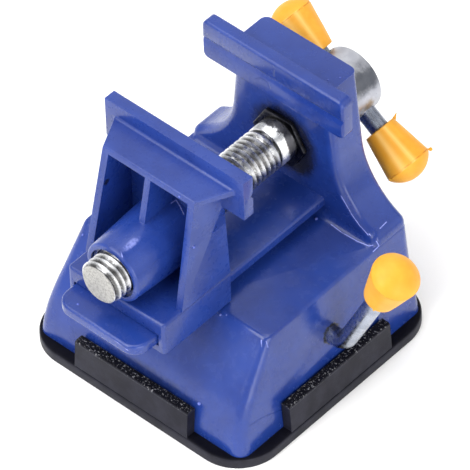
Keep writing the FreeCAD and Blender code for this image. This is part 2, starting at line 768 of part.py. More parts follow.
def build_moving_jaw():
    """Sliding jaw: grooved bar, two legs around a screw boss, and a base that hooks the rail."""
    body = new_body("moving_jaw")
    face = "fixed_face - jaw_gap"
    back = f"{face} - back_setback"
    front = f"{face} - base_front"
    outer = "rail_half + slide_clearance + skirt_thickness"
    inner = "rail_half + slide_clearance"
    floor = "rail_top + slide_clearance"
    deck = f"{floor} + base_thickness"
    foot_front = f"{face} - tower_foot_front"
    prism(body, "base", "XY", "ledge_top + slide_clearance", deck, lambda s: box(
        s, f"-({outer})", outer, front, f"{back} + back_draft"))
    soften(body, "base_corners", "casting_round * 1.5", (
        (None, front, None), (None, front, None)), keep=upright)
    soften(body, "base_edges", "casting_round", (
        (None, front, deck), (None, foot_front, deck)), (
        (None, front, "ledge_top + slide_clearance"), (None, foot_front, "ledge_top + slide_clearance")))
    top_front = f"{face} - tower_top_front"
    loft(body, "tower", [
        (deck, lambda s: box(s, f"-({outer})", outer, foot_front, f"{back} + back_draft")),
        ("tower_top", lambda s: box(s, "-tower_top_half", "tower_top_half", top_front, back)),
    ])
    roof = "tower_top - roof_thickness"
    for side, way in (("left", -1), ("right", 1)):
        low = (f"{way} * rib_half", f"{way} * ({outer} - leg_thickness)")
        high = (f"{way} * rib_half", f"{way} * (tower_top_half - leg_thickness)")
        low = low if way > 0 else low[::-1]
        high = high if way > 0 else high[::-1]
        loft(body, side + "_window", [
            (deck, lambda s: box(
                s, low[0], low[1], f"{foot_front} - overrun", f"{back} + back_draft - back_wall")),
            (roof, lambda s: box(s, high[0], high[1], f"{top_front} - overrun", f"{back} - back_wall")),
        ], cut=True)
    prism(body, "shoulder", "XY", roof, "tower_top", lambda s: outline(
        s,
        ("-tower_top_half", top_front),
        ("tower_top_half", top_front),
        ("shoulder_half", f"{face} - bar_thickness"),
        ("-shoulder_half", f"{face} - bar_thickness"),
    ))
    soften(body, "shoulder_edges", "casting_round / 2", (
        (None, top_front, "tower_top"), (None, f"{face} - bar_thickness", "tower_top")),
        keep=lambda edge: edge.BoundBox.YMin < value(f"{face} - bar_thickness") - value("casting_round"))
    spin(body, "boss", "XY", "V_Axis", lambda s: outline(
        s,
        ("0", f"{front} - boss_lead"),
        ("boss_radius - casting_round", f"{front} - boss_lead"),
        ("boss_radius", f"{front} - boss_lead + casting_round", "casting_round", 1),
        ("boss_radius + boss_draft", f"{back} + back_draft - back_wall / 2"),
        ("0", f"{back} + back_draft - back_wall / 2"),
    ), height="screw_height")
    prism(body, "jaw_bar", "YZ", "-bar_half", "bar_half", lambda s: draw_bar(s, face))
    soften(body, "bar_foot", "casting_round", (
        ("-shoulder_half", f"{face} - bar_thickness", "tower_top"),
        ("shoulder_half", f"{face} - bar_thickness", "tower_top")))
    soften(body, "jaw_bar_edges", "casting_round / 2", (
        ("-bar_half", face, "bar_top - bar_height"), ("bar_half", face, "bar_top")),
        keep=lambda edge: abs(edge.CenterOfMass.z - value("groove_height")) > value("groove_half * 2"))
    # Channel for the rail, with a lip under each side of it.
    prism(body, "channel", "XZ", f"{front} - overrun", f"{back} + back_draft + overrun", lambda s: outline(
        s,
        ("slide_clearance + stem_half", "ledge_top - overrun"),
        ("slide_clearance + stem_half", "ledge_top + slide_clearance + lip_height"),
        (inner, "ledge_top + slide_clearance + lip_height"),
        (inner, floor),
        (f"-({inner})", floor),
        (f"-({inner})", "ledge_top + slide_clearance + lip_height"),
        ("-slide_clearance - stem_half", "ledge_top + slide_clearance + lip_height"),
        ("-slide_clearance - stem_half", "ledge_top - overrun"),
    ), cut=True)
    mouth = f"{front} - boss_lead"
    rear = f"{back} + back_draft"
    prism(body, "screw_bore", "XZ", f"{mouth} - overrun", f"{rear} + overrun", lambda s: circle(
        s, "0", "screw_height", "screw_radius + slide_clearance"), cut=True)
    prism(body, "boss_mouth", "XZ", f"{mouth} - overrun", f"{mouth} + boss_mouth_depth", lambda s: circle(
        s, "0", "screw_height", "boss_mouth"), cut=True)
    return body


def build_lead_screw():
    """Screw with its thread as a plain cylinder, a relief, a journal and a reduced tail."""
    body = new_body("lead_screw", z="screw_height", turn="bar_rod_tilt")
    shoulder = "column_back + washer_thickness + head_gap"
    spin(body, "turned", "XY", "V_Axis", lambda s: outline(
        s,
        ("0", "-screw_front"),
        ("screw_radius - screw_tip", "-screw_front"),
        ("screw_radius", "screw_tip - screw_front"),
        ("screw_radius", "thread_end - relief_width"),
        ("screw_radius - relief_depth", "thread_end - relief_width"),
        ("screw_radius - relief_depth", "thread_end"),
        ("screw_radius", "thread_end"),
        ("screw_radius", shoulder),
        ("tail_radius", shoulder),
        ("tail_radius", f"{shoulder} + tail_length"),
        ("0", f"{shoulder} + tail_length"),
    ))
    prism(body, "pin_bore", "XY", "-screw_radius", "screw_radius", lambda s: circle(
        s, "0", f"{shoulder} + head_pin_setback", "head_pin_radius"), cut=True)
    return body


def build_retaining_nut():
    """Thin hexagon nut that holds the screw against the column."""
    body = new_body("retaining_nut", z="screw_height", turn="nut_turn")
    corner = "(nut_flats / sqrt(3))"
    far = "column_front - nut_gap"
    near = f"{far} - nut_thickness"
    prism(body, "hexagon", "XZ", near, far, lambda s: outline(
        s, *[(f"{corner} * cos({60 * turn})", f"{corner} * sin({60 * turn})") for turn in range(6)]))
    prism(body, "bore", "XZ", f"{near} - overrun", f"{far} + overrun", lambda s: circle(
        s, "0", "0", "screw_radius"), cut=True)
    return body


def build_thrust_washer():
    """Washer between the column and the screw head."""
    body = new_body("thrust_washer", z="screw_height")
    prism(body, "ring", "XZ", "column_back", "column_back + washer_thickness", lambda s: circle(
        s, "0", "0", "washer_radius"))
    prism(body, "bore", "XZ", "column_back - overrun", "column_back + washer_thickness + overrun",
          lambda s: circle(s, "0", "0", "screw_radius + running_fit"), cut=True)
    return body


def build_screw_head():
    """Round steel head on the screw's tail, cross-drilled for the sliding bar."""
    body = new_body("screw_head", z="screw_height", turn="bar_rod_tilt")
    front = "column_back + washer_thickness + head_gap"
    spin(body, "turned", "XY", "V_Axis", lambda s: outline(
        s,
        ("tail_radius", front),
        ("head_radius - head_round / 2", front),
        ("head_radius", f"{front} + head_round / 2"),
        ("head_radius", "head_end - head_round"),
        ("head_radius - head_round", "head_end", "head_round", 1),
        ("0", "head_end"),
        ("0", f"{front} + tail_length + bore_end_gap"),
        ("tail_radius", f"{front} + tail_length + bore_end_gap"),
    ))
    prism(body, "bar_bore", "YZ", "-head_radius - overrun", "head_radius + overrun", lambda s: circle(
        s, "bar_rod_y", "0", "bar_rod_radius + running_fit"), cut=True)
    prism(body, "pin_bore", "XY", "-head_radius - overrun", "head_radius + overrun", lambda s: circle(
        s, "0", f"{front} + head_pin_setback", "head_pin_radius"), cut=True)
    return body


def build_sliding_bar():
    """Sliding bar through the screw head, with a cap on each end."""
    cosine = "cos(bar_rod_tilt)"
    sine = "sin(bar_rod_tilt)"
    rod("t_bar", "bar_rod_radius", "bar_rod_clear_length + 2 * cap_socket", f"bar_rod_shift * {cosine}",
        "bar_rod_y", f"screw_height - bar_rod_shift * {sine}", "bar_rod_tilt + 90")
    lower = "(bar_rod_clear_length / 2 + bar_rod_shift)"
    upper = "(bar_rod_clear_length / 2 - bar_rod_shift)"
    build_cap("t_bar_cap_lower", "bar_rod_radius", f"{lower} * {cosine}", "bar_rod_y",
              f"screw_height - {lower} * {sine}", "bar_rod_tilt + 90")
    build_cap("t_bar_cap_upper", "bar_rod_radius", f"-{upper} * {cosine}", "bar_rod_y",
              f"screw_height + {upper} * {sine}", "bar_rod_tilt - 90")


def check_and_export():
    """Stop on any faulty object or shape, then write one file for each sub-part."""
    doc.recompute()
    faulty = [item.Name for item in doc.Objects if {"Invalid", "Error"} & set(item.State)]
    if faulty:
        raise RuntimeError("did not compute: " + ", ".join(faulty))
    os.makedirs("parts", exist_ok=True)
    for item in NODES:
        if item.Shape.isNull() or not item.Shape.isValid():
            raise RuntimeError(f"{item.Label} has a faulty shape")
        if len(item.Shape.Solids) != 1:
            raise RuntimeError(f"{item.Label} is {len(item.Shape.Solids)} solids")
        item.Shape.exportStep(f"parts/{item.Label}.step")
        print(item.Label, round(item.Shape.Volume), [round(size, 1) for size in item.Shape.BoundBox.Center])


build_base_body()
build_suction_pad()
build_membrane()
build_button()
build_pull_plate()
build_pull_stud()
build_eccentric()
build_cam_pin()
build_lever_rod()
build_shaft_washer()
build_shaft_clip()
build_cap("lever_cap", "rod_radius", "rod_corner + arm_length * sin(rod_tilt)", "lever_y",
          "lever_height + arm_length * cos(rod_tilt)", "rod_tilt")
build_moving_jaw()
build_lead_screw()
build_retaining_nut()
build_thrust_washer()
build_screw_head()
rod("head_pin", "head_pin_radius", "2 * head_radius - head_round", "0",
    "column_back + washer_thickness + head_gap + head_pin_setback", "screw_height", "bar_rod_tilt")
build_sliding_bar()
check_and_export()
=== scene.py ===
"""Suction base bench vise: finishes, threads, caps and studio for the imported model."""
import logging
import math
from dataclasses import dataclass
from enum import Enum

import bmesh
import bpy
from mathutils import Matrix, Vector


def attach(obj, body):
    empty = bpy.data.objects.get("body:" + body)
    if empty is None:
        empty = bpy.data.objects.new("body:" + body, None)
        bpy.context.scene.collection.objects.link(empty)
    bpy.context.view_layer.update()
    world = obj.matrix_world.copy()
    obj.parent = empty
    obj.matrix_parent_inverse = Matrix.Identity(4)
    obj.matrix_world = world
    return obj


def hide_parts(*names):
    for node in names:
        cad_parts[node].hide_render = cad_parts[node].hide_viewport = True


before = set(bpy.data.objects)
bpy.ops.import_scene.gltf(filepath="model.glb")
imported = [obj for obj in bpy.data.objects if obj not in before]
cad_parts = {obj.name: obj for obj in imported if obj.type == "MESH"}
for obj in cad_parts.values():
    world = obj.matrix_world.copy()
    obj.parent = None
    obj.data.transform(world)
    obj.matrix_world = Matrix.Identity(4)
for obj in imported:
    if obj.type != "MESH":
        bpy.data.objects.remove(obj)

LOG = logging.getLogger("suction_vise")
MM = 0.001
JOIN = 0.001 * MM
Colour = tuple[float, float, float]
Point = tuple[float, float, float]
Line = tuple[Point, ...]


class Body(Enum):
    """The rigid bodies that pieces ride on."""

    BASE = "base"
    JAW = "jaw"
    SCREW = "screw"
    BAR = "bar"
    LEVER = "lever"
    PLUNGER = "plunger"


class Slot(Enum):
    """The material slots by name."""

    PAINT = "blue_paint"
    RUBBER = "black_rubber"
    ZINC = "zinc_steel"
    BLACKENED = "black_steel"
    VINYL = "yellow_vinyl"


@dataclass(frozen=True)
class Smudge:
    """A round patch on a surface, in millimetres; squash weighs each axis of its distance."""

    centre: Point
    radius: float
    feather: float
    amount: float = 1.0
    squash: Point = (1.0, 1.0, 1.0)


# ---------------------------------------------------------------- shader graphs
class Graph:
    """Builds one material's node graph, always from object coordinates."""

    def __init__(self, name: str) -> None:
        """Start an empty material.

        Args:
            name: The material's name.
        """
        self.material = bpy.data.materials.new(name)
        self.material.use_nodes = True
        self.tree = self.material.node_tree
        self.tree.nodes.clear()
        coordinates = self.add("ShaderNodeTexCoord")
        self.place = coordinates.outputs["Object"]
        self.normal = coordinates.outputs["Normal"]

    def add(self, kind: str, **settings: object) -> bpy.types.Node:
        """Add a node and set its plain properties.

        Args:
            kind: The node's type name.
            settings: Properties to set on it.

        Returns:
            The node.
        """
        node = self.tree.nodes.new(kind)
        for key, value in settings.items():
            setattr(node, key, value)
        return node

    def feed(self, socket: bpy.types.NodeSocket, source: object) -> None:
        """Link a socket to another one, or set its constant.

        Args:
            socket: The input.
            source: An output socket, a number, or a tuple.
        """
        if isinstance(source, bpy.types.NodeSocket):
            self.tree.links.new(source, socket)
        elif source is not None:
            socket.default_value = source

    def math(self, operation: str, a: object, b: object = None,
             clamp: bool = False) -> bpy.types.NodeSocket:
        """Combine one or two numbers.

        Args:
            operation: The math node's operation.
            a: First input.
            b: Second input, if the operation has one.
            clamp: Whether the result is held from 0 to 1.

        Returns:
            The result.
        """
        node = self.add("ShaderNodeMath", operation=operation, use_clamp=clamp)
        self.feed(node.inputs[0], a)
        self.feed(node.inputs[1], b)
        return node.outputs[0]

    def noise(self, scale: float, detail: float = 3.0, rough: float = 0.55,
              stretch: Point | None = None, warp: float = 0.0) -> bpy.types.NodeSocket:
        """Make a noise value.

        Args:
            scale: Waves in each metre.
            detail: Octaves.
            rough: How strong the fine octaves are.
            stretch: Optional scale along each axis.
            warp: Distortion.

        Returns:
            The noise, about 0 to 1.
        """
        node = self.add("ShaderNodeTexNoise")
        place = self.place
        if stretch is not None:
            mapping = self.add("ShaderNodeMapping")
            self.feed(mapping.inputs["Vector"], place)
            mapping.inputs["Scale"].default_value = stretch
            place = mapping.outputs[0]
        self.feed(node.inputs["Vector"], place)
        node.inputs["Scale"].default_value = scale
        node.inputs["Detail"].default_value = detail
        node.inputs["Roughness"].default_value = rough
        node.inputs["Distortion"].default_value = warp
        return node.outputs["Fac"]

    def specks(self, scale: float, size: float, chance: float) -> bpy.types.NodeSocket:
        """Scatter small round specks.

        Args:
            scale: Cells in each metre.
            size: A speck's radius as a share of its cell.
            chance: The share of cells that hold a speck.

        Returns:
            1 inside a speck and 0 outside.
        """
        cells = self.add("ShaderNodeTexVoronoi", feature="F1")
        self.feed(cells.inputs["Vector"], self.place)
        cells.inputs["Scale"].default_value = scale
        near = self.span(cells.outputs["Distance"], size, size * 0.6)
        pick = self.add("ShaderNodeSeparateColor")
        self.feed(pick.inputs[0], cells.outputs["Color"])
        return self.math("MULTIPLY", near, self.math("LESS_THAN", pick.outputs[0], chance))

    def span(self, value: object, low: float, high: float) -> bpy.types.NodeSocket:
        """Map a range smoothly to 0 to 1.

        Args:
            value: The number to map.
            low: Where the result is 0.
            high: Where the result is 1; it may lie below low.

        Returns:
            The mapped number.
        """
        node = self.add("ShaderNodeMapRange", interpolation_type="SMOOTHSTEP", clamp=True)
        flip = high < low
        self.feed(node.inputs["Value"], value)
        node.inputs["From Min"].default_value = min(low, high)
        node.inputs["From Max"].default_value = max(low, high)
        node.inputs["To Min"].default_value = 1.0 if flip else 0.0
        node.inputs["To Max"].default_value = 0.0 if flip else 1.0
        return node.outputs[0]

    def axis(self, index: int) -> bpy.types.NodeSocket:
        """Return one object coordinate: 0 is X, 1 is Y and 2 is Z."""
        parts = self.add("ShaderNodeSeparateXYZ")
        self.feed(parts.inputs[0], self.place)
        return parts.outputs[index]

    def facing(self, index: int) -> bpy.types.NodeSocket:
        """Return one part of the surface's normal: 0 is X, 1 is Y and 2 is Z."""
        parts = self.add("ShaderNodeSeparateXYZ")
        self.feed(parts.inputs[0], self.normal)
        return parts.outputs[index]

    def attribute(self, name: str) -> bpy.types.NodeSocket:
        """Read a number that the mesh holds under a name."""
        return self.add("ShaderNodeAttribute", attribute_name=name).outputs["Fac"]

    def away(self, centre: Point, squash: Point = (1.0, 1.0, 1.0)) -> bpy.types.NodeSocket:
        """Measure the distance from a point.

        Args:
            centre: The point, in millimetres.
            squash: Weight of each axis; 0 leaves an axis out.

        Returns:
            The distance in metres.
        """
        shift = self.add("ShaderNodeVectorMath", operation="SUBTRACT")
        self.feed(shift.inputs[0], self.place)
        shift.inputs[1].default_value = [c * MM for c in centre]
        weigh = self.add("ShaderNodeVectorMath", operation="MULTIPLY")
        self.feed(weigh.inputs[0], shift.outputs[0])
        weigh.inputs[1].default_value = squash
        length = self.add("ShaderNodeVectorMath", operation="LENGTH")
        self.feed(length.inputs[0], weigh.outputs[0])
        return length.outputs["Value"]

    def segment(self, start: Point, end: Point) -> bpy.types.NodeSocket:
        """Measure the distance from a straight line between two points.

        Args:
            start: One end, in millimetres.
            end: The other end.

        Returns:
            The distance in metres.
        """
        first, along = Vector(start) * MM, (Vector(end) - Vector(start)) * MM
        shift = self.add("ShaderNodeVectorMath", operation="SUBTRACT")
        self.feed(shift.inputs[0], self.place)
        shift.inputs[1].default_value = first
        dot = self.add("ShaderNodeVectorMath", operation="DOT_PRODUCT")
        self.feed(dot.inputs[0], shift.outputs[0])
        dot.inputs[1].default_value = along / along.length_squared
        share = self.math("ADD", dot.outputs["Value"], 0.0, clamp=True)
        foot = self.add("ShaderNodeVectorMath", operation="SCALE")
        foot.inputs[0].default_value = along
        self.feed(foot.inputs["Scale"], share)
        rest = self.add("ShaderNodeVectorMath", operation="SUBTRACT")
        self.feed(rest.inputs[0], shift.outputs[0])
        self.feed(rest.inputs[1], foot.outputs[0])
        length = self.add("ShaderNodeVectorMath", operation="LENGTH")
        self.feed(length.inputs[0], rest.outputs[0])
        return length.outputs["Value"]

    def trail(self, lines: tuple[Line, ...], width: float) -> bpy.types.NodeSocket:
        """Mark narrow lines that run through points.

        Args:
            lines: Each line's points, in millimetres.
            width: Half the width of the lines in millimetres.

        Returns:
            1 on a line and 0 away from it.
        """
        near = None
        for line in lines:
            for start, end in zip(line, line[1:]):
                far = self.segment(start, end)
                near = far if near is None else self.math("MINIMUM", near, far)
        return self.span(near, width * MM, width * 0.35 * MM)

    def ragged(self, distance: object, reach: float, scale: float, detail: float,
               rough: float) -> bpy.types.NodeSocket:
        """Shift a distance by a noise, so that an edge drawn from it wanders.

        Args:
            distance: The distance in metres.
            reach: The width of the wandering in millimetres.
            scale: Waves of the noise in each metre.
            detail: Its octaves.
            rough: How strong its fine octaves are.

        Returns:
            The shifted distance.
        """
        swing = self.math("SUBTRACT", self.noise(scale, detail, rough), 0.5)
        return self.math("ADD", distance, self.math("MULTIPLY", swing, reach * MM))

    def patch(self, spot: Smudge, distance: object) -> bpy.types.NodeSocket:
        """Mark a smudge.

        Args:
            spot: The smudge.
            distance: The distance from its centre, in metres.

        Returns:
            The smudge's amount inside it and 0 beyond its feather.
        """
        inside = self.span(distance, (spot.radius + spot.feather) * MM, spot.radius * MM)
        return self.math("MULTIPLY", inside, spot.amount)

    def tint(self, under: object, mask: object, share: float, over: Colour) -> bpy.types.NodeSocket:
        """Lay a colour over another one.

        Args:
            under: The colour below.
            mask: Where the upper colour lies, 0 to 1.
            share: How much it covers there.
            over: The upper colour.

        Returns:
            The mixed colour.
        """
        return self.blend(self.math("MULTIPLY", mask, share), under, over)

    def blend(self, share: object, a: object, b: object) -> bpy.types.NodeSocket:
        """Mix two colours.

        Args:
            share: 0 gives a and 1 gives b.
            a: First colour or socket.
            b: Second colour or socket.

        Returns:
            The mixed colour.
        """
        node = self.add("ShaderNodeMix", data_type="RGBA")
        self.feed(node.inputs["Factor"], share)
        for socket, source in ((node.inputs[6], a), (node.inputs[7], b)):
            self.feed(socket, (*source, 1.0) if isinstance(source, tuple) else source)
        return node.outputs[2]

    def bump(self, height: object, depth: float, strength: float = 1.0,
             under: bpy.types.NodeSocket | None = None) -> bpy.types.NodeSocket:
        """Turn a height into a bumped normal.

        Args:
            height: The height, 0 to 1.
            depth: Depth of the bump in millimetres.
            strength: Strength of the bump.
            under: A normal to add to.

        Returns:
            The normal.
        """
        node = self.add("ShaderNodeBump")
        node.inputs["Distance"].default_value = depth * MM
        node.inputs["Strength"].default_value = strength
        self.feed(node.inputs["Height"], height)
        self.feed(node.inputs["Normal"], under)
        return node.outputs[0]

    def surface(self, **sockets: object) -> bpy.types.Material:
        """Finish with one principled surface.

        Args:
            sockets: Its inputs, with an underscore for each space.

        Returns:
            The finished material.
        """
        shader = self.add("ShaderNodeBsdfPrincipled")
        for name, source in sockets.items():
            self.feed(shader.inputs[name.replace("_", " ")], source)
        output = self.add("ShaderNodeOutputMaterial")
        self.tree.links.new(shader.outputs[0], output.inputs["Surface"])
        return self.material


# ---------------------------------------------------------------- finishes
@dataclass(frozen=True)
class PaintFinish:
    """Glossy blue enamel over a die casting: thinly covered edges, ripples, marks, grease, painted
    highlights and painted shade.

    side_sag is (foot, top, depth) in millimetres: the faces towards +X lean out by the depth
    between the top and the foot.
    """

    name: str
    deep: Colour = (0.010, 0.031, 0.192)
    body: Colour = (0.014, 0.043, 0.245)
    # The rounded edges are lightened: worn, thinly covered paint there, and a painted highlight
    # along them.
    thin_paint_and_highlight: Colour = (0.34, 0.40, 0.95)
    dust: Colour = (0.32, 0.36, 0.62)
    # This near-black darkens the spots: real grease, and painted shade where a spot stands for
    # shade.
    grease: Colour = (0.006, 0.006, 0.009)
    # Colour of the painted highlight patches.
    painted_sheen: Colour = (0.24, 0.28, 0.66)
    # Colour of the painted highlight lines, a few of which are light scratches.
    glint_and_scratch: Colour = (0.36, 0.41, 0.95)
    gloss: float = 0.22
    coat_rough: float = 0.10
    edge_wander: float = 2.8
    crease_width: float = 0.30
    glint_width: float = 0.17
    side_sag: tuple[float, float, float] | None = None
    # Dark spots of real grease, and spots of painted shade.
    grease_and_shade_spots: tuple[Smudge, ...] = ()
    # Patches of painted highlight.
    painted_sheens: tuple[Smudge, ...] = ()
    # Painted highlight lines along edges and fillets, and a few light scratches.
    glints_and_scratches: tuple[Line, ...] = ()
    # Crease lines darkened with painted shade and dented a little.
    shaded_creases: tuple[Line, ...] = ()

    def make(self) -> bpy.types.Material:
        """Build the material."""
        g = Graph(self.name)
        colour = g.blend(g.span(g.noise(70.0, 4.0, 0.6), 0.35, 0.68), self.deep, self.body)
        # Rounded edges lightened in broken patches: worn paint and a painted highlight.
        edge_wear_and_highlight = g.math("MULTIPLY", g.attribute("rim"), g.span(g.noise(240.0, 3.0), 0.26, 0.54))
        colour = g.tint(colour, edge_wear_and_highlight, 0.78, self.thin_paint_and_highlight)
        colour = g.tint(colour, g.specks(330.0, 0.050, 0.022), 0.5, self.dust)
        haze = g.math("MULTIPLY", g.span(g.noise(420.0, 2.0), 0.4, 0.7), 0.08)
        # Dark spots with ragged edges: grease, and painted shade.
        for spot in self.grease_and_shade_spots:
            edge = g.ragged(g.away(spot.centre, spot.squash), self.edge_wander, 430.0, 3.0, 0.6)
            colour = g.blend(g.patch(spot, edge), colour, self.grease)
        # Painted highlight patches, broken by noise.
        for spot in self.painted_sheens:
            mask = g.patch(spot, g.away(spot.centre, spot.squash))
            mask = g.math("MULTIPLY", mask, g.span(g.noise(900.0, 3.0, 0.7), 0.30, 0.62))
            colour = g.blend(mask, colour, self.painted_sheen)
        ripple = g.bump(g.noise(150.0, 2.0, 0.4), 0.35, 0.22)
        if self.side_sag is not None:
            foot, top, depth = self.side_sag
            below = g.math("SUBTRACT", top * MM, g.axis(2))
            fall = g.math("DIVIDE", below, (top - foot) * MM, True)
            fall = g.math("MULTIPLY", fall, g.math("GREATER_THAN", g.facing(0), 0.9))
            ripple = g.bump(fall, depth, 1.0, ripple)
        # Crease lines: painted shade in the deep colour, and a shallow dent.
        if self.shaded_creases:
            crease_shade = g.trail(self.shaded_creases, self.crease_width)
            colour = g.tint(colour, crease_shade, 0.55, self.deep)
            ripple = g.bump(g.math("SUBTRACT", 1.0, crease_shade), 0.12, 0.7, ripple)
        # Painted highlight lines and a few light scratches, raised a little by a bump.
        if self.glints_and_scratches:
            glint_and_scratch_line = g.trail(self.glints_and_scratches, self.glint_width)
            broken = g.math("MULTIPLY", glint_and_scratch_line, g.span(g.noise(700.0, 3.0, 0.7), 0.26, 0.52))
            colour = g.tint(colour, broken, 0.75, self.glint_and_scratch)
            ripple = g.bump(glint_and_scratch_line, 0.10, 0.6, ripple)
        peel = g.bump(g.noise(1100.0, 2.0, 0.5), 0.05, 0.30, ripple)
        pits = g.bump(g.specks(420.0, 0.12, 0.05), 0.08, 0.8, peel)
        return g.surface(Base_Color=colour, Roughness=g.math("ADD", self.gloss, haze), Normal=pits,
                         Coat_Weight=0.12, Coat_Roughness=self.coat_rough, Coat_Normal=ripple,
                         Specular_IOR_Level=0.45)


@dataclass(frozen=True)
class RubberFinish:
    """Matt black moulded rubber with dust and a rough moulded top to its tabs."""

    name: str
    body: Colour = (0.006, 0.006, 0.012)
    worn: Colour = (0.017, 0.017, 0.028)
    # Colour painted on faces that look up, darker to hold back the light they catch from above.
    top: Colour = (0.002, 0.002, 0.004)
    dust: Colour = (0.42, 0.42, 0.45)
    rough: float = 0.42
    tab_top: float = 11.3

    def make(self) -> bpy.types.Material:
        """Build the material."""
        g = Graph(self.name)
        colour = g.blend(g.span(g.noise(160.0, 5.0, 0.65), 0.35, 0.7), self.body, self.worn)
        # Faces that look up are painted darker and shine less: painted shade on the tops.
        upward = g.span(g.facing(2), 0.45, 0.85)
        colour = g.tint(colour, upward, 0.75, self.top)
        high = g.span(g.axis(2), (self.tab_top - 0.9) * MM, (self.tab_top - 0.1) * MM)
        crumbs = g.math("MULTIPLY", high, g.span(g.noise(1500.0, 3.0, 0.8), 0.575, 0.64))
        colour = g.tint(colour, crumbs, 0.70, self.dust)
        scuff = g.math("MULTIPLY", g.attribute("rim"), g.span(g.noise(900.0, 3.0, 0.7), 0.50, 0.66))
        colour = g.tint(colour, scuff, 0.30, self.dust)
        colour = g.tint(colour, g.specks(360.0, 0.07, 0.05), 0.75, self.dust)
        rough = g.math("ADD", self.rough, g.math("MULTIPLY", g.noise(260.0, 4.0), 0.22))
        grain = g.bump(g.noise(2400.0, 3.0, 0.6), 0.06, 0.5)
        torn = g.bump(g.math("MULTIPLY", high, g.noise(1500.0, 4.0, 0.8)), 0.5, 0.9, grain)
        shine = g.math("SUBTRACT", 0.24, g.math("MULTIPLY", upward, 0.19))
        return g.surface(Base_Color=colour, Roughness=rough, Normal=torn, Specular_IOR_Level=shine)


@dataclass(frozen=True)
class SteelFinish:
    """Zinc-plated or blackened steel with stains, grimy specks, darkened grooves and a painted dark
    patch.

    groove_axis is (a point of the axis, inner radius, outer radius): the colour darkens between the
    two.
    clean_front is where a sawn, clean front face stands along Y, and grease_from is where a film
    of grease starts along Y. All are in millimetres.
    """

    name: str
    bright: Colour = (0.74, 0.74, 0.75)
    dull: Colour = (0.42, 0.43, 0.45)
    # Dark colour of grimy specks, the darkened grooves and the painted dark patch.
    grime_and_painted_dark: Colour = (0.035, 0.033, 0.032)
    grease: Colour = (0.022, 0.022, 0.030)
    sawn_low: Colour = (0.28, 0.275, 0.26)
    sawn_high: Colour = (0.50, 0.49, 0.47)
    stain_colour: Colour = (0.28, 0.20, 0.10)
    rough: float = 0.26
    metal: float = 1.0
    grain: float = 0.10
    edge_wander: float = 3.5
    patch_wander: float = 4.0
    streaks: Point | None = None
    groove_axis: tuple[Point, float, float] | None = None
    clean_front: float | None = None
    grease_from: float | None = None
    stain: Smudge | None = None
    painted_dark_patch: Smudge | None = None

    def make(self) -> bpy.types.Material:
        """Build the material."""
        g = Graph(self.name)
        cloud = g.noise(210.0, 5.0, 0.65, self.streaks, 0.6)
        colour = g.blend(g.span(cloud, 0.34, 0.66), self.dull, self.bright)
        haze = g.math("MULTIPLY", g.span(g.noise(640.0, 4.0, 0.7, self.streaks), 0.4, 0.7), 0.16)
        rough = g.math("ADD", self.rough, haze)
        if self.groove_axis is not None:
            centre, low, high = self.groove_axis
            # The thread's grooves, between the two radii, are darkened in broken patches.
            depth = g.span(g.away(centre, (1.0, 0.0, 1.0)), high * MM, low * MM)
            groove_dark = g.math("MULTIPLY", depth, g.span(g.noise(330.0, 4.0, 0.7), 0.25, 0.55))
            front = self.clean_front
            if front is not None:
                behind = g.span(g.axis(1), (front + 0.15) * MM, (front + 0.45) * MM)
                groove_dark = g.math("MULTIPLY", groove_dark, behind)
            colour = g.tint(colour, groove_dark, 0.88, self.grime_and_painted_dark)
            if front is not None:
                face = g.span(g.axis(1), (front + 0.12) * MM, (front + 0.04) * MM)
                ridges = g.span(g.noise(1500.0, 4.0, 0.85), 0.36, 0.58)
                colour = g.blend(face, colour, g.blend(ridges, self.sawn_low, self.sawn_high))
                rough = g.math("ADD", rough, g.math("MULTIPLY", face, 0.22))
        if self.grease_from is not None:
            level = g.ragged(g.axis(1), self.edge_wander, 420.0, 4.0, 0.7)
            film = g.span(level, (self.grease_from - 0.2) * MM, (self.grease_from + 0.5) * MM)
            colour = g.tint(colour, film, 0.93, self.grease)
        # The dark patch is painted darkness: painted shade on the lever, a painted reflection on
        # the drum; the stain is real.
        for spot, over in ((self.painted_dark_patch, self.grime_and_painted_dark), (self.stain, self.stain_colour)):
            if spot is not None:
                away = g.away(spot.centre, spot.squash)
                edge = g.ragged(away, self.patch_wander, 420.0, 4.0, 0.7)
                colour = g.blend(g.patch(spot, edge), colour, over)
        colour = g.tint(colour, g.specks(900.0, 0.16, 0.10), 0.45, self.grime_and_painted_dark)
        fine = g.bump(g.noise(1500.0, 4.0, 0.7, self.streaks), self.grain, 0.45)
        return g.surface(Base_Color=colour, Roughness=rough, Normal=fine, Metallic=self.metal)


